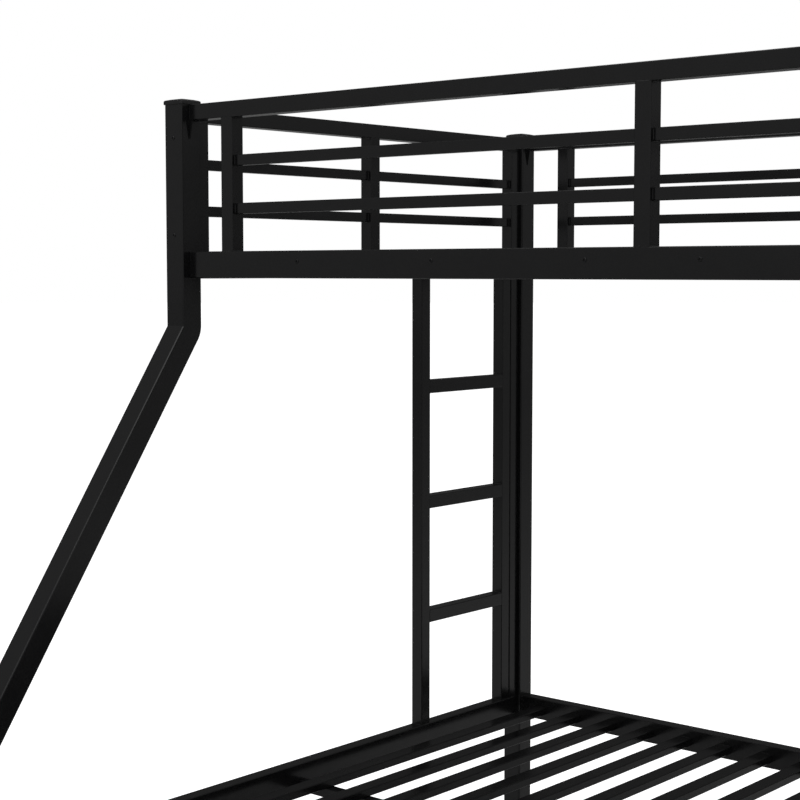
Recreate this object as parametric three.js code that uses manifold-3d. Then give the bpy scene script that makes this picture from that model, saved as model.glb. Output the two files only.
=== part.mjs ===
// A twin-over-full bunk bed welded from square steel tube, with a ladder in its left end frame.
// Millimetres, +Z up, X along the bed, +Y towards the back. The origin is on the floor, at the
// centre of the footprint. The tubes are hollow and open at their ends.

import * as THREE from 'three';
import { mergeVertices } from 'three/addons/utils/BufferGeometryUtils.js';
import Module from 'manifold-3d';

const wasm = await Module();
wasm.setup();

// ---------------------------------------------------------------- driving dimensions

const LENGTH = 2000; // outside the posts
const UPPER_WIDTH = 1060; // outside the posts, at the top bunk
const LOWER_WIDTH = 1524; // outside the legs, at the lower bunk
const HEIGHT = 1655; // floor to the top of the post caps
const GAP = 0.3; // between pieces that touch

const POST = 45; // square post
const POST_WALL = 1.2;
const POST_RADIUS = 3;
const POST_TOP = 1643.5; // top of the steel, under the cap

const TUBE = 28; // square tube of the guards, end frames and ladder
const TUBE_WALL = 1;
const TUBE_RADIUS = 2;

const BAR_HEIGHT = 19; // guard bars
const BAR_DEPTH = 13;
const BAR_RADIUS = 1.5;

const RAIL_HEIGHT = 47.4; // side and end rails of both bunks
const UPPER_RAIL_TOP = 1381.6;
const LOWER_RAIL_TOP = 376;
const GUARD_TOP = 1643.4; // top of the long guard rails
const END_DROP = 1.3; // the end guards sit this much lower than the long ones

const UPPER_BEND = 1247.6; // height of the front post's upper bend, on its outer face
const LEG_SLOPE = 0.68; // sideways run of the leg for each millimetre of drop

const UPRIGHT_PITCH = 858; // between neighbouring guard uprights

const RUNG_TOP = 1115.8; // top of the highest rung
const RUNG_PITCH = 246.4;
const RUNG_COUNT = 3;
const STILE_SPACING = 280.2; // between the stiles' centres
const STILE_CLEARANCE = 2.2; // between the rear stile and the end frame's side tube

const SLAT_WIDTH = 32.5;
const SLAT_HEIGHT = 16;
const SLAT_WALL = 0.8;
const LOWER_SLAT_DROP = 18; // from a side rail's top to the slats' tops
const UPPER_SLAT_DROP = 10;
const SLAT_PITCH = 95.1; // the same across the middle of the bed
const SLATS_PER_HALF = 10;
const LOWER_BEAM_Y = 14;
const BEAM_WIDTH = 22;
const BEAM_HEIGHT = 20;
const WELD = 0.5; // how far welded tubes run into each other

// ---------------------------------------------------------------- places worked out from them

const POST_X = (LENGTH - POST) / 2;
const BACK_Y = (LOWER_WIDTH - POST) / 2;
const FRONT_TOP_Y = BACK_Y - UPPER_WIDTH + POST;
const LEG_Y = -BACK_Y;
const INNER_X = LENGTH / 2 - POST; // the posts' faces towards the middle of the bed
const LEG_RUN = FRONT_TOP_Y - LEG_Y;
const LEG_DROP = LEG_RUN / LEG_SLOPE;

// The long rails of the top bunk lie flush with the front posts' inner faces and with the back
// posts' outer faces. The lower ones are centred on their posts.
const FRONT_RAIL_Y = FRONT_TOP_Y + (POST - TUBE) / 2;
const BACK_RAIL_Y = BACK_Y + (POST - TUBE) / 2;

const FRONT_END_Y = FRONT_TOP_Y + POST / 2; // where the end frames meet the front posts
const BACK_END_Y = BACK_Y - POST / 2; // and the back posts

const STEEL = new THREE.MeshStandardMaterial({ color: 0x0c0c0d, roughness: 0.3, metalness: 0.0 });
const PLASTIC = new THREE.MeshStandardMaterial({ color: 0x0a0a0b, roughness: 0.5, metalness: 0.0 });

const bed = new THREE.Group();

// ---------------------------------------------------------------- shapes

function roundedRectangle(width, height, radius) {
  const x = width / 2 - radius;
  const y = height / 2 - radius;
  const outline = new THREE.Shape();
  outline.absarc(x, y, radius, 0, Math.PI / 2);
  outline.absarc(-x, y, radius, Math.PI / 2, Math.PI);
  outline.absarc(-x, -y, radius, Math.PI, 1.5 * Math.PI);
  outline.absarc(x, -y, radius, 1.5 * Math.PI, 2 * Math.PI);
  outline.closePath();
  return outline;
}

function tubeSection(width, height, radius, wall) {
  const x = width / 2 - wall;
  const y = height / 2 - wall;
  const section = roundedRectangle(width, height, radius);
  const bore = [[x, y], [x, -y], [-x, -y], [-x, y]].map(([u, v]) => new THREE.Vector2(u, v));
  section.holes.push(new THREE.Path(bore));
  return section;
}

// A tube along +Z, centred on the origin.
function tube(width, height, length, radius = TUBE_RADIUS, wall = TUBE_WALL) {
  const section = tubeSection(width, height, radius, wall);
  const geometry = new THREE.ExtrudeGeometry(section, {
    depth: length,
    steps: 1,
    curveSegments: 1,
    bevelEnabled: false,
  });
  return geometry.translate(0, 0, -length / 2);
}

// The same tube turned to lie along X, with its height along Z.
function tubeAlongX(height, depth, length, radius, wall) {
  return tube(height, depth, length, radius, wall).rotateY(Math.PI / 2);
}

// And along Y, with its height along Z.
function tubeAlongY(height, width, length, radius, wall) {
  return tube(width, height, length, radius, wall).rotateX(Math.PI / 2);
}

function solidOf(geometry) {
  const bare = geometry.clone();
  bare.deleteAttribute('normal');
  bare.deleteAttribute('uv');
  const merged = mergeVertices(bare, 1e-4);
  return new wasm.Manifold(
    new wasm.Mesh({
      numProp: 3,
      vertProperties: new Float32Array(merged.attributes.position.array),
      triVerts: new Uint32Array(merged.index.array),
    }),
  );
}

function geometryOf(solid) {
  const mesh = solid.getMesh();
  const geometry = new THREE.BufferGeometry();
  geometry.setAttribute('position', new THREE.BufferAttribute(new Float32Array(mesh.vertProperties), 3));
  geometry.setIndex(new THREE.BufferAttribute(new Uint32Array(mesh.triVerts), 1));
  geometry.computeVertexNormals();
  return geometry;
}

function join(geometries) {
  return geometryOf(geometries.map(solidOf).reduce((whole, piece) => whole.add(piece)));
}

function cut(geometry, tools) {
  return geometryOf(tools.map(solidOf).reduce((whole, tool) => whole.subtract(tool), solidOf(geometry)));
}

function add(name, geometry, x, y, z, material = STEEL) {
  const mesh = new THREE.Mesh(geometry, material);
  mesh.name = name;
  mesh.position.set(x, y, z);
  bed.add(mesh);
}

// The centre and length of a piece that fills the space from one face to another, less the gaps.
function between(from, to) {
  return { centre: (from + to) / 2, length: to - from - 2 * GAP };
}

// ---------------------------------------------------------------- posts

const FOOT_FLANGE = 5;

function straightPost() {
  const span = between(FOOT_FLANGE, POST_TOP + GAP);
  return tube(POST, POST, span.length, POST_RADIUS, POST_WALL).translate(0, 0, span.centre);
}

// The front post is one tube with two bends. Each ring of an extruded tube moves to its place:
// the foot, the lower bend, the upper bend and the top. Both bends are mitred.
function bentPost() {
  const mitre = Math.tan(Math.atan(LEG_SLOPE) / 2);
  const bendCentre = UPPER_BEND - (POST / 2) * mitre;
  const rings = [
    { y: 0, z: FOOT_FLANGE + GAP, slope: 0 },
    { y: 0, z: bendCentre - LEG_DROP, slope: mitre },
    { y: LEG_RUN, z: bendCentre, slope: mitre },
    { y: LEG_RUN, z: POST_TOP, slope: 0 },
  ];
  const geometry = new THREE.ExtrudeGeometry(tubeSection(POST, POST, POST_RADIUS, POST_WALL), {
    depth: rings.length - 1,
    steps: rings.length - 1,
    curveSegments: 1,
    bevelEnabled: false,
  });
  const position = geometry.attributes.position;
  for (let i = 0; i < position.count; i += 1) {
    const ring = rings[Math.round(position.getZ(i))];
    const across = position.getY(i);
    position.setY(i, ring.y + across);
    position.setZ(i, ring.z - ring.slope * across);
  }
  geometry.computeVertexNormals();
  return geometry;
}

const OVERHANG = 2; // of the caps and the feet, all round
const CAP_EDGE = 7.5;
const PLUG_DEPTH = 22;
const PLUG_CLEARANCE = 0.4;
const PLUG_RADIUS = 2;

// A square block with rounded corners, standing on the origin.
function roundedBlock(size, height, radius) {
  return new THREE.ExtrudeGeometry(roundedRectangle(size, size, radius), {
    depth: height,
    curveSegments: 2,
    bevelEnabled: false,
  });
}

function plugFor(tubeSize, wall) {
  return roundedBlock(tubeSize - 2 * wall - 2 * PLUG_CLEARANCE, PLUG_DEPTH, PLUG_RADIUS);
}

// A plug that fills the tube's mouth, under an overhanging plate with a low pyramid on it.
function postCap() {
  const crown = HEIGHT - POST_TOP - GAP - CAP_EDGE;
  const plate = roundedBlock(POST + 2 * OVERHANG, CAP_EDGE, POST_RADIUS);
  const pyramid = new THREE.CylinderGeometry(POST * 0.42, POST * 0.66, crown + WELD, 4);
  pyramid.rotateX(Math.PI / 2).rotateZ(Math.PI / 4);
  pyramid.translate(0, 0, CAP_EDGE + (crown - WELD) / 2);
  const plug = plugFor(POST, POST_WALL).translate(0, 0, WELD - PLUG_DEPTH);
  return join([plate, pyramid, plug]);
}

function footGlide(tubeSize, wall) {
  const flange = roundedBlock(tubeSize + 2 * OVERHANG, FOOT_FLANGE, POST_RADIUS);
  const plug = plugFor(tubeSize, wall).translate(0, 0, FOOT_FLANGE - WELD);
  return join([flange, plug]);
}

const SIDES = [
  { name: 'left', x: -1 },
  { name: 'right', x: 1 },
];

for (const side of SIDES) {
  const x = side.x * POST_X;
  add(`front_post_${side.name}`, bentPost(), x, LEG_Y, 0);
  add(`back_post_${side.name}`, straightPost(), x, BACK_Y, 0);
  add(`front_cap_${side.name}`, postCap(), x, FRONT_TOP_Y, POST_TOP + GAP, PLASTIC);
  add(`back_cap_${side.name}`, postCap(), x, BACK_Y, POST_TOP + GAP, PLASTIC);
  add(`front_foot_${side.name}`, footGlide(POST, POST_WALL), x, LEG_Y, 0, PLASTIC);
  add(`back_foot_${side.name}`, footGlide(POST, POST_WALL), x, BACK_Y, 0, PLASTIC);
}

// ---------------------------------------------------------------- long sides of the top bunk

const UPPER_RAIL_Z = UPPER_RAIL_TOP - RAIL_HEIGHT / 2;
const GUARD_BOTTOM = GUARD_TOP - TUBE;
const BAR_SPACE = (GUARD_BOTTOM - UPPER_RAIL_TOP - 2 * BAR_HEIGHT) / 3;
const BAR_HEIGHTS = [
  { name: 'lower', z: UPPER_RAIL_TOP + BAR_SPACE + BAR_HEIGHT / 2 },
  { name: 'upper', z: UPPER_RAIL_TOP + 2 * BAR_SPACE + 1.5 * BAR_HEIGHT },
];

// An upright with a slot through it for each bar. Its own centre is the origin.
function slottedUpright(length, centreZ, drop, alongX) {
  const slots = BAR_HEIGHTS.map((bar) => {
    const slot = new THREE.BoxGeometry(TUBE * 2, BAR_DEPTH + 2 * GAP, BAR_HEIGHT + 2 * GAP);
    slot.rotateZ(alongX ? 0 : Math.PI / 2);
    return slot.translate(0, 0, bar.z - drop - centreZ);
  });
  return cut(tube(TUBE, TUBE, length), slots);
}

function longSide(name, y) {
  const rail = between(-INNER_X, INNER_X);
  const railTube = tubeAlongX(RAIL_HEIGHT, TUBE, rail.length);
  add(`${name}_side_rail_upper`, railTube, 0, y, UPPER_RAIL_Z);
  add(`${name}_guard_top_rail`, tubeAlongX(TUBE, TUBE, rail.length), 0, y, GUARD_TOP - TUBE / 2);

  const upright = between(UPPER_RAIL_TOP, GUARD_BOTTOM);
  for (const [place, label] of [[-1, 'left'], [1, 'right']]) {
    const geometry = tube(TUBE, TUBE, upright.length);
    add(`${name}_guard_upright_${label}`, geometry, place * UPRIGHT_PITCH, y, upright.centre);
  }
  const middle = slottedUpright(upright.length, upright.centre, 0, true);
  add(`${name}_guard_upright_middle`, middle, 0, y, upright.centre);

  const bar = between(TUBE / 2 - UPRIGHT_PITCH, UPRIGHT_PITCH - TUBE / 2);
  for (const level of BAR_HEIGHTS) {
    const geometry = tubeAlongX(BAR_HEIGHT, BAR_DEPTH, bar.length, BAR_RADIUS);
    add(`${name}_guard_bar_${level.name}`, geometry, 0, y, level.z);
  }
}

longSide('front', FRONT_RAIL_Y);
longSide('back', BACK_RAIL_Y);

// ---------------------------------------------------------------- end frames of the top bunk

const END_TOP = GUARD_TOP - END_DROP;
const END_RAIL_TOP = UPPER_RAIL_TOP - END_DROP;

function endGuard(side) {
  const x = side.x * POST_X;
  const label = side.name;
  const whole = between(FRONT_END_Y, BACK_END_Y);
  add(`${label}_end_top_rail`, tubeAlongY(TUBE, TUBE, whole.length), x, whole.centre, END_TOP - TUBE / 2);

  // On the ladder side the rear tube runs down past the end rail, which stops against it.
  const holdsLadder = label === 'left';
  const railEnd = holdsLadder ? BACK_END_Y - TUBE - GAP : BACK_END_Y;
  const rail = between(FRONT_END_Y, railEnd);
  const railTube = tubeAlongY(RAIL_HEIGHT, TUBE, rail.length);
  add(`${label}_end_rail_upper`, railTube, x, rail.centre, END_RAIL_TOP - RAIL_HEIGHT / 2);

  const short = between(END_RAIL_TOP, END_TOP - TUBE);
  const rear = between(holdsLadder ? LOWER_RAIL_TOP : END_RAIL_TOP, END_TOP - TUBE);
  const frontY = FRONT_END_Y + GAP + TUBE / 2;
  const rearY = BACK_END_Y - GAP - TUBE / 2;
  add(`${label}_end_tube_front`, tube(TUBE, TUBE, short.length), x, frontY, short.centre);
  add(`${label}_end_tube_rear`, tube(TUBE, TUBE, rear.length), x, rearY, rear.centre);
  const upright = slottedUpright(short.length, short.centre, END_DROP, false);
  add(`${label}_end_upright`, upright, x, whole.centre, short.centre);

  const bar = between(frontY + TUBE / 2, rearY - TUBE / 2);
  for (const level of BAR_HEIGHTS) {
    const geometry = tubeAlongY(BAR_HEIGHT, BAR_DEPTH, bar.length, BAR_RADIUS);
    add(`${label}_end_bar_${level.name}`, geometry, x, bar.centre, level.z - END_DROP);
  }
}

SIDES.forEach(endGuard);

// ---------------------------------------------------------------- ladder

const REAR_STILE_Y = BACK_END_Y - GAP - TUBE - STILE_CLEARANCE - TUBE / 2;
const FRONT_STILE_Y = REAR_STILE_Y - STILE_SPACING;
const stile = between(LOWER_RAIL_TOP, END_RAIL_TOP - RAIL_HEIGHT);
add('ladder_stile_front', tube(TUBE, TUBE, stile.length), -POST_X, FRONT_STILE_Y, stile.centre);
add('ladder_stile_rear', tube(TUBE, TUBE, stile.length), -POST_X, REAR_STILE_Y, stile.centre);

const rung = between(FRONT_STILE_Y + TUBE / 2, REAR_STILE_Y - TUBE / 2);
for (let i = 0; i < RUNG_COUNT; i += 1) {
  const z = RUNG_TOP - TUBE / 2 - i * RUNG_PITCH;
  add(`ladder_rung_${RUNG_COUNT - i}`, tubeAlongY(TUBE, TUBE, rung.length), -POST_X, rung.centre, z);
}

// ---------------------------------------------------------------- lower frame

const LOWER_RAIL_Z = LOWER_RAIL_TOP - RAIL_HEIGHT / 2;
const lowerSide = between(-INNER_X, INNER_X);
for (const [name, y] of [['front', LEG_Y], ['back', BACK_Y]]) {
  add(`${name}_side_rail_lower`, tubeAlongX(RAIL_HEIGHT, TUBE, lowerSide.length), 0, y, LOWER_RAIL_Z);
}
const lowerEnd = between(LEG_Y + POST / 2, BACK_END_Y);
for (const side of SIDES) {
  const geometry = tubeAlongY(RAIL_HEIGHT, TUBE, lowerEnd.length);
  add(`${side.name}_end_rail_lower`, geometry, side.x * POST_X, lowerEnd.centre, LOWER_RAIL_Z);
}

// ---------------------------------------------------------------- slat decks

const LOWER_SLAT_TOP = LOWER_RAIL_TOP - LOWER_SLAT_DROP;
const UPPER_SLAT_TOP = UPPER_RAIL_TOP - UPPER_SLAT_DROP;
const BEAM_DROP = SLAT_HEIGHT - WELD; // from the slats' tops to the beam's top

// Half a deck: slats welded across half of the beam that carries them. Side is -1 for the left
// half. The slats run from one side rail to the other. Y is measured from the beam's centre, and
// Z from the slats' tops.
function deckHalf(side, slat) {
  const slats = Array.from({ length: SLATS_PER_HALF }, (_, i) => {
    const geometry = tubeAlongY(SLAT_HEIGHT, SLAT_WIDTH, slat.length, BAR_RADIUS, SLAT_WALL);
    return geometry.translate(side * (i + 0.5) * SLAT_PITCH, slat.centre, -SLAT_HEIGHT / 2);
  });
  const reach = between(0, POST_X - TUBE / 2);
  const beam = tubeAlongX(BEAM_HEIGHT, BEAM_WIDTH, reach.length, BAR_RADIUS);
  beam.translate(side * reach.centre, 0, -BEAM_DROP - BEAM_HEIGHT / 2);
  return join([...slats, beam]);
}

const JOINER_LENGTH = 120;
const JOINER_WALL = 2;

// A channel that holds the two ends of a beam from below.
function beamJoiner() {
  const width = BEAM_WIDTH + 2 * (GAP + JOINER_WALL);
  const height = BEAM_HEIGHT - 2;
  const outside = new THREE.BoxGeometry(JOINER_LENGTH, width, height + JOINER_WALL);
  outside.translate(0, 0, (height - JOINER_WALL) / 2);
  const inside = new THREE.BoxGeometry(JOINER_LENGTH * 2, BEAM_WIDTH + 2 * GAP, height * 2);
  return cut(outside, [inside.translate(0, 0, height)]);
}

// The rails are given by the Y of their centres.
function deck(name, frontRail, backRail, beamY, slatTop) {
  const slat = between(frontRail + TUBE / 2 - beamY, backRail - TUBE / 2 - beamY);
  for (const side of SIDES) {
    add(`${name}_deck_${side.name}`, deckHalf(side.x, slat), 0, beamY, slatTop);
  }
  add(`${name}_beam_joiner`, beamJoiner(), 0, beamY, slatTop - BEAM_DROP - BEAM_HEIGHT - GAP);
}

deck('lower', LEG_Y, BACK_Y, LOWER_BEAM_Y, LOWER_SLAT_TOP);
deck('upper', FRONT_RAIL_Y, BACK_RAIL_Y, (FRONT_RAIL_Y + BACK_RAIL_Y) / 2, UPPER_SLAT_TOP);

// ---------------------------------------------------------------- centre legs

const LEG_TUBE = 25;
const LEG_PLATE = { width: 60, depth: 40, thickness: 3 };
const CENTRE_LEG_X = 500;

function centreLeg(top) {
  const length = top - LEG_PLATE.thickness - FOOT_FLANGE - GAP + WELD;
  const leg = tube(LEG_TUBE, LEG_TUBE, length).translate(0, 0, FOOT_FLANGE + GAP + length / 2);
  const plate = new THREE.BoxGeometry(LEG_PLATE.width, LEG_PLATE.depth, LEG_PLATE.thickness);
  plate.translate(0, 0, top - LEG_PLATE.thickness / 2);
  return join([leg, plate]);
}

const LOWER_BEAM_BOTTOM = LOWER_SLAT_TOP - BEAM_DROP - BEAM_HEIGHT;
for (const side of SIDES) {
  const x = side.x * CENTRE_LEG_X;
  add(`centre_leg_${side.name}`, centreLeg(LOWER_BEAM_BOTTOM - GAP), x, LOWER_BEAM_Y, 0);
  add(`centre_foot_${side.name}`, footGlide(LEG_TUBE, TUBE_WALL), x, LOWER_BEAM_Y, 0, PLASTIC);
}

export default bed;
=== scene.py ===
"""Looks for a black powder-coated bunk bed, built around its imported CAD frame. Metres, +Z up."""

import math

import bpy
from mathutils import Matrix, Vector, noise


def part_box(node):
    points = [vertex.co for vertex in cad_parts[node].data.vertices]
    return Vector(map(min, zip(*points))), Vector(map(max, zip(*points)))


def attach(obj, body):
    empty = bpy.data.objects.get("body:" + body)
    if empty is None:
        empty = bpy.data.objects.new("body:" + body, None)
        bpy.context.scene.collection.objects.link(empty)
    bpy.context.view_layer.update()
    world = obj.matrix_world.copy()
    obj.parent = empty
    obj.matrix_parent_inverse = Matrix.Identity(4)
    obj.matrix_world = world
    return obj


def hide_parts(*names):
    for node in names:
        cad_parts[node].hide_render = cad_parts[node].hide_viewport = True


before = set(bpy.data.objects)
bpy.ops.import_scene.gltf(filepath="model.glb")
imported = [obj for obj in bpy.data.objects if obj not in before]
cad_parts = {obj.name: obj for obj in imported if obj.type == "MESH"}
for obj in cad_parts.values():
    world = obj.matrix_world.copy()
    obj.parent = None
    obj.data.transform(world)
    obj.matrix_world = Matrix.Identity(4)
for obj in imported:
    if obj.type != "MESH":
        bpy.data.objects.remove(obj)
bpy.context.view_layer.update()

MM = 0.001
X = Vector((1, 0, 0))
Y = Vector((0, 1, 0))
Z = Vector((0, 0, 1))
CORNER_STEPS = 5
WELD_GAP = 0.3 * MM


# ---------------------------------------------------------------- materials


class Nodes:
    """A material's node tree, with short calls to add and join nodes."""

    def __init__(self, name):
        self.material = bpy.data.materials.new(name)
        self.material.use_nodes = True
        self.tree = self.material.node_tree
        self.shader = self.tree.nodes["Principled BSDF"]
        self.place = self.add("ShaderNodeTexCoord").outputs["Object"]

    def add(self, kind, **settings):
        node = self.tree.nodes.new(kind)
        for key, value in settings.items():
            setattr(node, key, value)
        return node

    def join(self, source, target):
        self.tree.links.new(source, target)

    def noise(self, scale, detail=3.0, roughness=0.5, place=None):
        node = self.add("ShaderNodeTexNoise")
        node.inputs["Scale"].default_value = scale
        node.inputs["Detail"].default_value = detail
        node.inputs["Roughness"].default_value = roughness
        self.join(place or self.place, node.inputs["Vector"])
        return node.outputs["Fac"]

    def ranged(self, value, low, high, start=0.0, end=1.0):
        node = self.add("ShaderNodeMapRange", clamp=True)
        node.inputs["From Min"].default_value = low
        node.inputs["From Max"].default_value = high
        node.inputs["To Min"].default_value = start
        node.inputs["To Max"].default_value = end
        self.join(value, node.inputs["Value"])
        return node.outputs["Result"]

    def maths(self, operation, first, second):
        node = self.add("ShaderNodeMath", operation=operation)
        for socket, value in zip(node.inputs, (first, second)):
            if isinstance(value, float):
                socket.default_value = value
            else:
                self.join(value, socket)
        return node.outputs["Value"]

    def mixed(self, share, first, second):
        node = self.add("ShaderNodeMix", data_type="RGBA")
        self.join(share, node.inputs["Factor"])
        for socket, value in zip((node.inputs["A"], node.inputs["B"]), (first, second)):
            if isinstance(value, tuple):
                socket.default_value = (*value, 1)
            else:
                self.join(value, socket)
        return node.outputs["Result"]

    def bump(self, height, distance, strength=1.0, below=None):
        node = self.add("ShaderNodeBump")
        node.inputs["Distance"].default_value = distance
        node.inputs["Strength"].default_value = strength
        self.join(height, node.inputs["Height"])
        if below:
            self.join(below, node.inputs["Normal"])
        return node.outputs["Normal"]


def upward(nodes):
    """How far a surface faces up, 0 to 1."""
    parts = nodes.add("ShaderNodeSeparateXYZ")
    nodes.join(nodes.add("ShaderNodeNewGeometry").outputs["Normal"], parts.inputs["Vector"])
    return nodes.ranged(parts.outputs["Z"], 0.6, 0.98)


def powder_coat(name, tone=1.0, shine=0.42):
    """Semi-gloss black powder coat: slow waviness of thin steel, orange peel, and a patchy painted top
    light that makes up-facing faces lighter and a little rougher.
    """
    nodes = Nodes(name)
    shader = nodes.shader
    drift = nodes.noise(7, 2)
    cloud = nodes.noise(55, 4)
    specks = nodes.ranged(nodes.noise(1500, 1), 0.70, 0.78)
    deep = tuple(tone * c for c in (0.0042, 0.0042, 0.0045))
    pale = tuple(tone * c for c in (0.0070, 0.0070, 0.0073))
    base = nodes.mixed(cloud, deep, pale)
    base = nodes.mixed(nodes.maths("MULTIPLY", specks, 0.25), base, (0.02, 0.02, 0.021))
    # Painted top light: faces that point up are mixed in patches towards a lighter grey, as if lit from
    # above, and the same mask raises their roughness.
    top_light_patches = nodes.ranged(nodes.noise(24, 5), 0.35, 0.75, 0.0, 0.22)
    painted_top_light = nodes.maths("MULTIPLY", upward(nodes), top_light_patches)
    base = nodes.mixed(painted_top_light, base, (0.022, 0.022, 0.0225))
    nodes.join(base, shader.inputs["Base Color"])
    gloss = nodes.ranged(drift, 0.3, 0.7, 0.16, 0.24)
    gloss = nodes.maths("ADD", gloss, nodes.maths("MULTIPLY", painted_top_light, 0.5))
    nodes.join(gloss, shader.inputs["Roughness"])
    wave = nodes.bump(nodes.noise(9, 1), 0.5 * MM, 0.30)
    peel = nodes.bump(nodes.noise(420, 2, 0.35), 0.02 * MM, 0.55, wave)
    nodes.join(peel, shader.inputs["Normal"])
    shader.inputs["IOR"].default_value = 1.5
    shader.inputs["Specular IOR Level"].default_value = shine
    return nodes.material


def moulded_plastic(name):
    """Satin black plastic with a fine spark-eroded grain."""
    nodes = Nodes(name)
    shader = nodes.shader
    base = nodes.mixed(nodes.noise(90, 4), (0.0060, 0.0060, 0.0063), (0.0100, 0.0100, 0.0104))
    nodes.join(base, shader.inputs["Base Color"])
    nodes.join(nodes.ranged(nodes.noise(160, 3), 0.3, 0.7, 0.40, 0.52), shader.inputs["Roughness"])
    nodes.join(nodes.bump(nodes.noise(2600, 2), 0.03 * MM, 0.6), shader.inputs["Normal"])
    shader.inputs["Specular IOR Level"].default_value = 0.4
    return nodes.material


def blackened_steel(name):
    """Bolt heads: black-oxide steel, a little worn on their crowns."""
    nodes = Nodes(name)
    shader = nodes.shader
    wear = nodes.ranged(nodes.noise(900, 4), 0.52, 0.70)
    base = nodes.mixed(wear, (0.012, 0.012, 0.013), (0.045, 0.043, 0.042))
    nodes.join(base, shader.inputs["Base Color"])
    nodes.join(nodes.ranged(nodes.noise(500, 3), 0.3, 0.7, 0.28, 0.42), shader.inputs["Roughness"])
    nodes.join(nodes.bump(nodes.noise(1800, 2), 0.02 * MM, 0.5), shader.inputs["Normal"])
    shader.inputs["Metallic"].default_value = 0.6
    return nodes.material


STEEL = powder_coat("powder_coat")
SLAT_STEEL = powder_coat("powder_coat_slats", 0.85, 0.26)
PLASTIC = moulded_plastic("moulded_plastic")
FASTENER = blackened_steel("blackened_steel")


# ---------------------------------------------------------------- mesh building


class Skin:
    """Points, faces, and a normal for each corner of each face."""

    def __init__(self):
        self.points = []
        self.faces = []
        self.normals = []

    def ring(self, points):
        first = len(self.points)
        self.points.extend(points)
        return list(range(first, len(self.points)))

    def band(self, low, high, low_normals, high_normals):
        """Quads between two closed rings of as many points."""
        for i in range(len(low)):
            j = (i + 1) % len(low)
            self.faces.append((low[i], low[j], high[j], high[i]))
            self.normals.extend((low_normals[i], low_normals[j], high_normals[j], high_normals[i]))

    def lid(self, ring, normal):
        self.faces.append(tuple(ring))
        self.normals.extend([normal] * len(ring))

    def piece(self, name, material, *nodes):
        mesh = bpy.data.meshes.new(name)
        mesh.from_pydata(self.points, [], self.faces)
        mesh.polygons.foreach_set("use_smooth", [True] * len(mesh.polygons))
        mesh.normals_split_custom_set([n.normalized() for n in self.normals])
        mesh.materials.append(material)
        piece = bpy.data.objects.new(name, mesh)
        bpy.context.scene.collection.objects.link(piece)
        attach(piece, "root")
        if nodes:
            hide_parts(*nodes)
        return piece


def rounded_outline(width, height, radius):
    """Points and outward normals round a rectangle with round corners, in its own plane."""
    points, normals = [], []
    for quarter, (side, top) in enumerate(((1, 1), (-1, 1), (-1, -1), (1, -1))):
        for step in range(CORNER_STEPS + 1):
            angle = math.radians(90 * (quarter + step / CORNER_STEPS))
            normal = (math.cos(angle), math.sin(angle))
            normals.append(normal)
            across = side * (width / 2 - radius) + radius * normal[0]
            points.append((across, top * (height / 2 - radius) + radius * normal[1]))
    return points, normals


def placed(outline, centre, u, v):
    points, normals = outline
    ring = [centre + u * p + v * q for p, q in points]
    return ring, [u * p + v * q for p, q in normals]


def tube(skin, stations, width, height, radius, wall):
    """A hollow tube through stations of (centre, width direction, height direction)."""
    outer = rounded_outline(width, height, radius)
    inner = rounded_outline(width - 2 * wall, height - 2 * wall, max(radius - wall, 0.4 * MM))
    shells = []
    for outline in (outer, inner):
        rings = [placed(outline, *station) for station in stations]
        shells.append([(skin.ring(points), normals) for points, normals in rings])
    for (low, low_normals), (high, high_normals) in zip(shells[0], shells[0][1:]):
        skin.band(low, high, low_normals, high_normals)
    for (low, low_normals), (high, high_normals) in zip(shells[1], shells[1][1:]):
        skin.band(high, low, [-n for n in high_normals], [-n for n in low_normals])
    for end, (_, u, v) in ((0, stations[0]), (-1, stations[-1])):
        outside, inside = shells[0][end][0], shells[1][end][0]
        facing = u.cross(v) * (1 if end else -1)
        flat = [facing] * len(outside)
        if end:
            skin.band(outside, inside, flat, flat)
        else:
            skin.band(inside, outside, flat, flat)


SECTION = {"X": (X, Y, Z), "Y": (Y, -X, Z), "Z": (Z, X, Y)}


def straight(skin, low, high, axis, radius=2 * MM, wall=1 * MM):
    """A straight tube that fills a box, along one axis."""
    along, u, v = SECTION[axis]
    size = high - low
    middle = (low + high) / 2
    half = along * (size.dot(along) / 2)
    width, height = abs(size.dot(u)), abs(size.dot(v))
    tube(skin, [(middle - half, u, v), (middle + half, u, v)], width, height, radius, wall)


def stacked(skin, base, levels, radius, u=X, v=Y):
    """A solid of square rings, each level being (size, height, tilt of its normals)."""
    up = u.cross(v)
    before = None
    for size, height, tilt in levels:
        outline = rounded_outline(size, size, min(radius, size * 0.45))
        points, sideways = placed(outline, base + up * height, u, v)
        lean = [n * math.cos(tilt) + up * math.sin(tilt) for n in sideways]
        ring = skin.ring(points)
        if before:
            skin.band(before[0], ring, before[1], lean)
        else:
            skin.lid(ring[::-1], -up)
        before = (ring, lean)
    skin.lid(before[0], up)


def bead(skin, start, end, size, seed, step=1.1 * MM):
    """A rippled weld bead along a corner line, tapered at both ends."""
    line = end - start
    along = line.normalized()
    u = along.orthogonal().normalized()
    v = along.cross(u)
    count = max(6, round(line.length / step))
    before = None
    for i in range(count + 1):
        share = i / count
        taper = min(1.0, 6 * share + 0.15, 6 * (1 - share) + 0.15)
        ripple = 0.12 * math.sin(2 * math.pi * share * line.length / (2.6 * MM))
        wander = 0.22 * noise.noise(Vector((share * line.length * 160, seed * 7.3, 0)))
        radius = size * taper * (1 + ripple + wander)
        directions = [u * math.cos(k * math.pi / 3) + v * math.sin(k * math.pi / 3) for k in range(6)]
        ring = skin.ring([start + line * share + d * radius for d in directions])
        if before:
            skin.band(before, ring, directions, directions)
        else:
            skin.lid(ring[::-1], -along)
        before = ring
    skin.lid(before, along)


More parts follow.
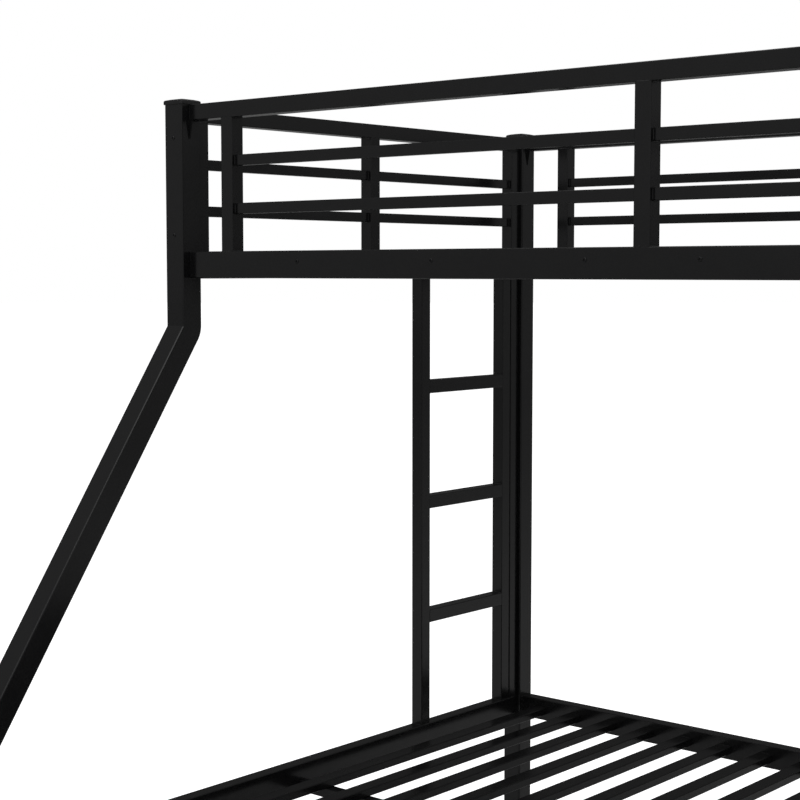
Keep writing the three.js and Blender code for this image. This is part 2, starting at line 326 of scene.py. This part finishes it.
def fastener(skin, centre, out, radius, height):
    """A round head with a hex socket, lying on a surface that faces along out."""
    u = out.orthogonal().normalized()
    v = out.cross(u)
    turns = [2 * math.pi * k / 24 for k in range(24)]
    rim = [u * math.cos(a) + v * math.sin(a) for a in turns]
    socket = [radius * 0.42 / math.cos((a + math.pi / 6) % (math.pi / 3) - math.pi / 6) for a in turns]
    profile = [(1.0, 0.0, 0.0), (1.0, 0.30, 0.15), (0.93, 0.66, 0.75), (0.78, 0.92, 1.2), (0.60, 1.0, 1.57)]
    before = None
    for share, rise, tilt in profile:
        ring = skin.ring([centre + d * radius * share + out * height * rise for d in rim])
        lean = [d * math.cos(tilt) + out * math.sin(tilt) for d in rim]
        if before:
            skin.band(before[0], ring, before[1], lean)
        before = (ring, lean)
    flat = [out] * 24
    mouth = skin.ring([centre + d * s + out * height for d, s in zip(rim, socket)])
    skin.band(before[0], mouth, flat, flat)
    floor = skin.ring([centre + d * s + out * height * 0.25 for d, s in zip(rim, socket)])
    walls = [-d for d in rim]
    skin.band(mouth, floor, walls, walls)
    skin.lid(floor, out)


def plate(skin, low, high, out, corner):
    """A flat plate with round corners that fills a box, thin along out."""
    size = high - low
    middle = (low + high) / 2
    axis = max(range(3), key=lambda k: abs(out[k]))
    u, v = {0: (Y, Z), 1: (Z, X), 2: (X, Y)}[axis]
    thickness = abs(size.dot(out))
    up = u.cross(v)
    edge = min(0.5 * MM, thickness / 4)
    before = None
    for inset, height, tilt in ((edge, -0.5, -0.9), (0, -0.3, 0), (0, 0.3, 0), (edge, 0.5, 0.9)):
        outline = rounded_outline(size.dot(u) - 2 * inset, size.dot(v) - 2 * inset, corner)
        points, sideways = placed(outline, middle + up * thickness * height, u, v)
        ring = skin.ring(points)
        lean = [n * math.cos(tilt) + up * math.sin(tilt) for n in sideways]
        if before:
            skin.band(before[0], ring, before[1], lean)
        else:
            skin.lid(ring[::-1], -up)
        before = (ring, lean)
    skin.lid(before[0], up)


# ---------------------------------------------------------------- plain tubes


def grown(node, axis, by=WELD_GAP):
    """A node's box, lengthened at both ends to close the gaps between welded tubes."""
    low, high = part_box(node)
    along = SECTION[axis][0]
    return low - along * by, high + along * by


def plain_tube(node, axis, closing=WELD_GAP, radius=2 * MM):
    skin = Skin()
    straight(skin, *grown(node, axis, closing), axis, radius)
    skin.piece(f"{node}_tube", STEEL, node)


PLATE = 2.5 * MM
LONG = ("front", "back")
ENDS = ("left", "right")
LEVELS = ("lower", "upper")

for side in LONG:
    for rail in ("side_rail_upper", "guard_top_rail", "side_rail_lower"):
        plain_tube(f"{side}_{rail}", "X", -PLATE)
    for place in ("left", "middle", "right"):
        plain_tube(f"{side}_guard_upright_{place}", "Z")
    for level in LEVELS:
        plain_tube(f"{side}_guard_bar_{level}", "X", radius=1.5 * MM)

for end in ENDS:
    for rail in ("end_top_rail", "end_rail_upper", "end_rail_lower"):
        plain_tube(f"{end}_{rail}", "Y", 0)
    for upright in ("end_tube_front", "end_tube_rear", "end_upright"):
        plain_tube(f"{end}_{upright}", "Z")
    for level in LEVELS:
        plain_tube(f"{end}_end_bar_{level}", "Y", radius=1.5 * MM)

RUNGS = ("ladder_rung_1", "ladder_rung_2", "ladder_rung_3")
STILES = ("ladder_stile_front", "ladder_stile_rear")
for node in RUNGS:
    plain_tube(node, "Y")
for node in STILES:
    plain_tube(node, "Z")


# ---------------------------------------------------------------- posts, caps and feet

POST = 45 * MM
POST_RADIUS = 3.2 * MM
POST_WALL = 1.2 * MM
TURN = math.atan(0.68)
BEND_STEPS = 8
CREASE = 3 * MM  # radius of a bend's inner side
UPPER_BEND = 1.2476  # height of the upper bend's crease, on the post's outer face
LOWER_BEND = 0.5514  # and of the lower one's, on its inner face


def middle_of(node):
    low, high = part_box(node)
    return (low + high) / 2


UPPER_CREASE = (middle_of("front_cap_left").y - POST / 2, UPPER_BEND)
LOWER_CREASE = (middle_of("front_foot_left").y + POST / 2, LOWER_BEND)


def bend(crease, x, side):
    """Stations of a bend pivoting beside its crease; side is the crease's side of the tube."""
    y, z = crease
    tangent = CREASE * math.tan(TURN / 2)
    pivot = Vector((x, y + side * CREASE, z - side * tangent))
    stations = []
    for step in range(BEND_STEPS + 1):
        share = step / BEND_STEPS
        angle = TURN * (share if side > 0 else 1 - share)
        across = Vector((0, math.cos(angle), -math.sin(angle)))
        stations.append((pivot - across * side * (CREASE + POST / 2), X, across))
    return stations


for end in ENDS:
    node = f"front_post_{end}"
    low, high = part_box(node)
    x = (low.x + high.x) / 2
    foot = Vector((x, LOWER_CREASE[0] - POST / 2, low.z))
    head = Vector((x, UPPER_CREASE[0] + POST / 2, high.z))
    rising = bend(LOWER_CREASE, x, 1) + bend(UPPER_CREASE, x, -1)
    skin = Skin()
    tube(skin, [(foot, X, Y), *rising, (head, X, Y)], POST, POST, POST_RADIUS, POST_WALL)
    skin.piece(f"{node}_tube", STEEL, node)
    plain_tube(f"back_post_{end}", "Z", 0, POST_RADIUS)

for side in LONG:
    for end in ENDS:
        node = f"{side}_cap_{end}"
        low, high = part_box(node)
        base = Vector(((low.x + high.x) / 2, (low.y + high.y) / 2, high.z - 11.2 * MM))
        skin = Skin()
        size = high.x - low.x
        levels = [
            (size - 1.6 * MM, 0, -0.6),
            (size, 0.7 * MM, 0),
            (size, 5.6 * MM, 0.1),
            (size - 1.2 * MM, 7.0 * MM, 0.75),
            (size - 4 * MM, 7.9 * MM, 1.30),
            (size * 0.66, 9.5 * MM, 1.40),
            (size * 0.36, 10.6 * MM, 1.47),
            (size * 0.12, 11.2 * MM, 1.56),
        ]
        stacked(skin, base, levels, 3.4 * MM)
        skin.piece(f"{side}_post_cap_{end}", PLASTIC, node)

FEET = [f"{side}_foot_{end}" for side in LONG for end in ENDS]
for node in FEET + ["centre_foot_left", "centre_foot_right"]:
    low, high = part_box(node)
    base = Vector(((low.x + high.x) / 2, (low.y + high.y) / 2, low.z))
    size = high.x - low.x
    skin = Skin()
    levels = [
        (size - 3 * MM, 0, -1.2),
        (size - 0.8 * MM, 0.7 * MM, -0.5),
        (size, 1.6 * MM, 0),
        (size, 4.2 * MM, 0),
        (size - 1.4 * MM, 5 * MM, 0.9),
        (size - 6 * MM, 5.2 * MM, 1.5),
    ]
    stacked(skin, base, levels, 3.4 * MM)
    skin.piece(f"{node}_glide", PLASTIC, node)


# ---------------------------------------------------------------- slat decks

SLAT = 32.5 * MM
SLAT_HEIGHT = 16 * MM
BEAM = 22 * MM
BEAM_HEIGHT = 20 * MM
SLAT_PITCH = 95.1 * MM
SLAT_COUNT = 20
SLAT_XS = [(i - (SLAT_COUNT - 1) / 2) * SLAT_PITCH for i in range(SLAT_COUNT)]
BEAM_Y = {level: middle_of(f"{level}_beam_joiner").y for level in LEVELS}


def half_deck(level, end):
    """The slats in one half of a deck, and the half beam below them."""
    node = f"{level}_deck_{end}"
    low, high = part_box(node)
    underside = high.z - SLAT_HEIGHT
    skin = Skin()
    for x in SLAT_XS:
        if low.x < x < high.x:
            corner = Vector((x - SLAT / 2, low.y - WELD_GAP, underside))
            opposite = Vector((x + SLAT / 2, high.y + WELD_GAP, high.z))
            straight(skin, corner, opposite, "Y", 2.2 * MM, 0.8 * MM)
    corner = Vector((low.x, BEAM_Y[level] - BEAM / 2, underside - BEAM_HEIGHT))
    straight(skin, corner, Vector((high.x, BEAM_Y[level] + BEAM / 2, underside)), "X", 1.8 * MM)
    skin.piece(f"{level}_slats_{end}", SLAT_STEEL, node)


for level in LEVELS:
    for end in ENDS:
        half_deck(level, end)

for node in ("lower_beam_joiner", "upper_beam_joiner"):
    low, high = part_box(node)
    skin = Skin()
    straight(skin, low, high, "X", 3 * MM, 1.5 * MM)
    skin.piece(f"{node}_sleeve", STEEL, node)

for end in ENDS:
    node = f"centre_leg_{end}"
    low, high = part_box(node)
    middle = (low + high) / 2
    skin = Skin()
    reach = Vector((12.5 * MM, 12.5 * MM, 0))
    top = Vector((middle.x, middle.y, high.z - 3 * MM))
    straight(skin, Vector((middle.x, middle.y, low.z)) - reach, top + reach, "Z")
    plate(skin, Vector((low.x, low.y, high.z - 3 * MM)), high, Z, 4 * MM)
    skin.piece(f"{node}_tube", STEEL, node)


# ---------------------------------------------------------------- welds

FILLET = 1.7 * MM
SMALL_FILLET = 1.2 * MM


def joint(skin, centre, u, half_u, v, half_v, size=FILLET, flush=False):
    """Beads round a butt joint's four sides; those facing v are sunk a little where flush."""
    seed = centre.x * 3.1 + centre.y * 5.7 + centre.z * 9.2
    for sign in (-1, 1):
        edge = centre + u * half_u * sign
        bead(skin, edge - v * (half_v - 1 * MM), edge + v * (half_v - 1 * MM), size, seed + sign)
        depth = size * 0.75 if flush else 0
        edge = centre + v * (half_v - depth) * sign
        bead(skin, edge - u * (half_u - 1 * MM), edge + u * (half_u - 1 * MM), size, seed + 3 * sign)


def ends_of(node, axis):
    low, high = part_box(node)
    middle = (low + high) / 2
    along = SECTION[axis][0]
    half = along * ((high - low).dot(along) / 2 + WELD_GAP)
    return middle - half, middle + half


TUBE_HALF = 14 * MM
for side in LONG:
    skin = Skin()
    for place in ("left", "middle", "right"):
        for spot in ends_of(f"{side}_guard_upright_{place}", "Z"):
            joint(skin, spot, X, TUBE_HALF, Y, TUBE_HALF, flush=True)
    for level in LEVELS:
        start, stop = ends_of(f"{side}_guard_bar_{level}", "X")
        middle = (start + stop) / 2
        for spot in (start, middle - X * TUBE_HALF, middle + X * TUBE_HALF, stop):
            joint(skin, spot, Z, 9.5 * MM, Y, 6.5 * MM, SMALL_FILLET)
    skin.piece(f"{side}_guard_welds", STEEL)

for end in ENDS:
    skin = Skin()
    for upright in ("end_tube_front", "end_tube_rear", "end_upright"):
        for spot in ends_of(f"{end}_{upright}", "Z"):
            joint(skin, spot, Y, TUBE_HALF, X, TUBE_HALF, flush=True)
    for level in LEVELS:
        start, stop = ends_of(f"{end}_end_bar_{level}", "Y")
        middle = (start + stop) / 2
        for spot in (start, middle - Y * TUBE_HALF, middle + Y * TUBE_HALF, stop):
            joint(skin, spot, Z, 9.5 * MM, X, 6.5 * MM, SMALL_FILLET)
    skin.piece(f"{end}_end_welds", STEEL)

skin = Skin()
for node in RUNGS:
    for spot in ends_of(node, "Y"):
        joint(skin, spot, Z, TUBE_HALF, X, TUBE_HALF, flush=True)
for node in STILES:
    for spot in ends_of(node, "Z"):
        joint(skin, spot, Y, TUBE_HALF, X, TUBE_HALF, flush=True)
skin.piece("ladder_welds", STEEL)


def deck_welds(level):
    """Beads where each slat crosses the beam and where it meets the side rails."""
    low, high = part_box(f"{level}_deck_left")
    underside = high.z - SLAT_HEIGHT
    skin = Skin()
    for x in SLAT_XS:
        lines = [(BEAM_Y[level] + sign * BEAM / 2, underside) for sign in (-1, 1)]
        lines += [(y, z) for y in (low.y, high.y) for z in (underside, high.z)]
        for y, z in lines:
            spot = Vector((x, y, z))
            bead(skin, spot - X * 12 * MM, spot + X * 12 * MM, 1.5 * MM, x * 9 + y + z, 2 * MM)
    skin.piece(f"{level}_deck_welds", SLAT_STEEL)


deck_welds("lower")
deck_welds("upper")


# ---------------------------------------------------------------- end plates and fasteners

POST_X = middle_of("back_post_right").x
INNER_X = POST_X - POST / 2
OUTER_X = POST_X + POST / 2
POST_SCREWS_Z = (1.5840, 1.4110)
LADDER_SCREWS_Z = (1.1300, 0.7800)
SIDE_SCREWS_X = (0.0970, 0.3910, 0.6860)
SIDE_SCREWS_Z = 1.3630
GUARD_BOLT_Z = 1.6290

# Half width, half height and corner radius of the plates, then radius and height of the heads.
GUARD_FLANGE = (13.9 * MM, 13.9 * MM, 2 * MM)
UPPER_FLANGE = (13.9 * MM, 23.6 * MM, 2 * MM)
LOWER_FLANGE = (17 * MM, 23.6 * MM, 3 * MM)
BOLT = (6.5 * MM, 3.2 * MM)
POST_SCREW = (4 * MM, 1.4 * MM)
SIDE_SCREW = (3.6 * MM, 1.4 * MM)
BEAM_SCREW = (4 * MM, 1.8 * MM)

plates = Skin()
heads = Skin()
small_heads = Skin()


def end_flange(x_sign, y, z, half_width, half_height, corner):
    """The plate that closes a rail's end, against a post's inner face."""
    faces = sorted((x_sign * INNER_X, x_sign * (INNER_X - PLATE)))
    low = Vector((faces[0], y - half_width, z - half_height))
    plate(plates, low, Vector((faces[1], y + half_width, z + half_height)), X, corner)


def hook(skin, sign, y):
    """A thin tongue below a guard rail's end that narrows downwards, against the post."""
    rows = []
    for step in range(9):
        share = step / 8
        reach = 1.2 * MM + 6.8 * MM * (1 - share)
        height = 1.6180 - 35 * MM * share
        edges = [(0, 0), (reach, 0), (reach, 3.4 * MM), (0, 3.4 * MM)]
        points = [Vector((sign * (INNER_X - across), y + depth, height)) for across, depth in edges]
        rows.append(skin.ring(points if sign < 0 else points[::-1]))
    for low, high in zip(rows[::-1], rows[-2::-1]):
        for i in range(4):
            j = (i + 1) % 4
            corners = [skin.points[k] for k in (low[i], low[j], high[j])]
            facing = (corners[1] - corners[0]).cross(corners[2] - corners[0]).normalized()
            skin.faces.append((low[i], low[j], high[j], high[i]))
            skin.normals.extend([facing] * 4)
    skin.lid(rows[-1][::-1], -Z)
    skin.lid(rows[0], Z)


for side, out in (("front", -1), ("back", 1)):
    rail = middle_of(f"{side}_side_rail_upper")
    guard = middle_of(f"{side}_guard_top_rail")
    lower = middle_of(f"{side}_side_rail_lower")
    post_face = middle_of(f"{side}_cap_left").y + out * POST / 2
    leg_face = lower.y + out * POST / 2
    for sign in (-1, 1):
        end_flange(sign, rail.y, guard.z, *GUARD_FLANGE)
        end_flange(sign, rail.y, rail.z, *UPPER_FLANGE)
        end_flange(sign, lower.y, lower.z, *LOWER_FLANGE)
        hook(plates, sign, rail.y - TUBE_HALF + 0.1 * MM)
        for z in POST_SCREWS_Z:
            spot = Vector((sign * POST_X, post_face, z))
            fastener(small_heads, spot, Y * out, *POST_SCREW)
        spot = Vector((sign * POST_X, leg_face, lower.z))
        fastener(heads, spot, Y * out, *BOLT)
        for y, z in ((lower.y, lower.z), (rail.y, GUARD_BOLT_Z), (rail.y, rail.z)):
            fastener(heads, Vector((sign * OUTER_X, y, z)), X * sign, *BOLT)
        for x in SIDE_SCREWS_X:
            spot = Vector((sign * x, rail.y + out * TUBE_HALF, SIDE_SCREWS_Z))
            fastener(heads, spot, Y * out, *SIDE_SCREW)
for z in LADDER_SCREWS_Z:
    spot = Vector((-POST_X, middle_of("back_post_left").y + POST / 2, z))
    fastener(small_heads, spot, Y, *POST_SCREW)
plates.piece("rail_end_plates", STEEL)
small_heads.piece("post_screws", STEEL)

for name in ("lower_beam_joiner", "upper_beam_joiner"):
    low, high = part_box(name)
    middle = (low + high) / 2
    for offset in (-17 * MM, 17 * MM):
        fastener(heads, Vector((middle.x + offset, middle.y, low.z)), -Z, *BEAM_SCREW)
for end in ENDS:
    low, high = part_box(f"centre_leg_{end}")
    middle = (low + high) / 2
    for offset in (-22 * MM, 22 * MM):
        spot = Vector((middle.x + offset, middle.y, high.z - 3 * MM))
        fastener(heads, spot, -Z, *BEAM_SCREW)
heads.piece("fasteners", FASTENER)


# ---------------------------------------------------------------- floor, light and camera


def pale_floor():
    mesh = bpy.data.meshes.new("studio_floor")
    turns = [2 * math.pi * k / 96 for k in range(96)]
    rings = [(70 * math.cos(a), 70 * math.sin(a), 0) for a in turns]
    mesh.from_pydata(rings, [], [tuple(range(96))])
    floor = bpy.data.objects.new("studio_floor", mesh)
    bpy.context.scene.collection.objects.link(floor)
    floor.location.z = -0.2 * MM
    nodes = Nodes("pale_floor")
    shade = nodes.noise(0.8, 2)
    pale = nodes.mixed(shade, (0.70, 0.70, 0.70), (0.72, 0.72, 0.72))
    nodes.join(pale, nodes.shader.inputs["Base Color"])
    nodes.shader.inputs["Roughness"].default_value = 0.9
    nodes.shader.inputs["Specular IOR Level"].default_value = 0.0
    nodes.shader.inputs["Emission Color"].default_value = (1, 1, 1, 1)
    seen = nodes.add("ShaderNodeLightPath").outputs["Is Camera Ray"]
    nodes.join(nodes.maths("MULTIPLY", seen, 1.0), nodes.shader.inputs["Emission Strength"])
    mesh.materials.append(nodes.material)


def softbox(name, place, target, width, height, power):
    light = bpy.data.lights.new(name, "AREA")
    light.shape = "RECTANGLE"
    light.size = width
    light.size_y = height
    light.energy = power
    lamp = bpy.data.objects.new(name, light)
    bpy.context.scene.collection.objects.link(lamp)
    lamp.location = place
    lamp.rotation_euler = (Vector(target) - lamp.location).to_track_quat("-Z", "Y").to_euler()
    lamp.visible_camera = False


def studio_world():
    """A white backdrop for the eye; the object's own light grows from the back left to the front right."""
    world = bpy.data.worlds.new("studio")
    world.use_nodes = True
    tree = world.node_tree
    background = tree.nodes["Background"]
    place = tree.nodes.new("ShaderNodeTexCoord").outputs["Generated"]
    facing = tree.nodes.new("ShaderNodeVectorMath")
    facing.operation = "DOT_PRODUCT"
    facing.inputs[1].default_value = (0.64, -0.768, 0.0)
    tree.links.new(place, facing.inputs[0])
    level = tree.nodes.new("ShaderNodeMapRange")
    level.inputs["From Min"].default_value = -0.95
    level.inputs["From Max"].default_value = 0.45
    level.inputs["To Min"].default_value = 0.06
    level.inputs["To Max"].default_value = 0.37
    tree.links.new(facing.outputs["Value"], level.inputs["Value"])
    chosen = tree.nodes.new("ShaderNodeMix")
    chosen.data_type = "FLOAT"
    seen = tree.nodes.new("ShaderNodeLightPath").outputs["Is Camera Ray"]
    tree.links.new(seen, chosen.inputs["Factor"])
    tree.links.new(level.outputs["Result"], chosen.inputs["A"])
    chosen.inputs["B"].default_value = 1.0
    tree.links.new(chosen.outputs["Result"], background.inputs["Strength"])
    background.inputs["Color"].default_value = (1, 1, 1, 1)
    bpy.context.scene.world = world


pale_floor()
studio_world()
softbox("softbox_above", (0.3, -0.6, 4.6), (0, 0, 0), 6, 5, 120)
softbox("softbox_front", (2.5, -5.0, 4.2), (0, 0, 1.0), 3.5, 2.5, 25)

camera_data = bpy.data.cameras.new("photo_view")
camera_data.sensor_width = 36
camera_data.lens = 75.88
camera_data.clip_end = 300
camera = bpy.data.objects.new("photo_view", camera_data)
bpy.context.scene.collection.objects.link(camera)
camera.location = (1.3215, -2.3379, 1.3465)
camera.rotation_euler = (math.radians(90 - 4.37), 0, math.radians(40.82))
bpy.context.scene.camera = camera
bpy.context.scene.view_settings.view_transform = "Standard"
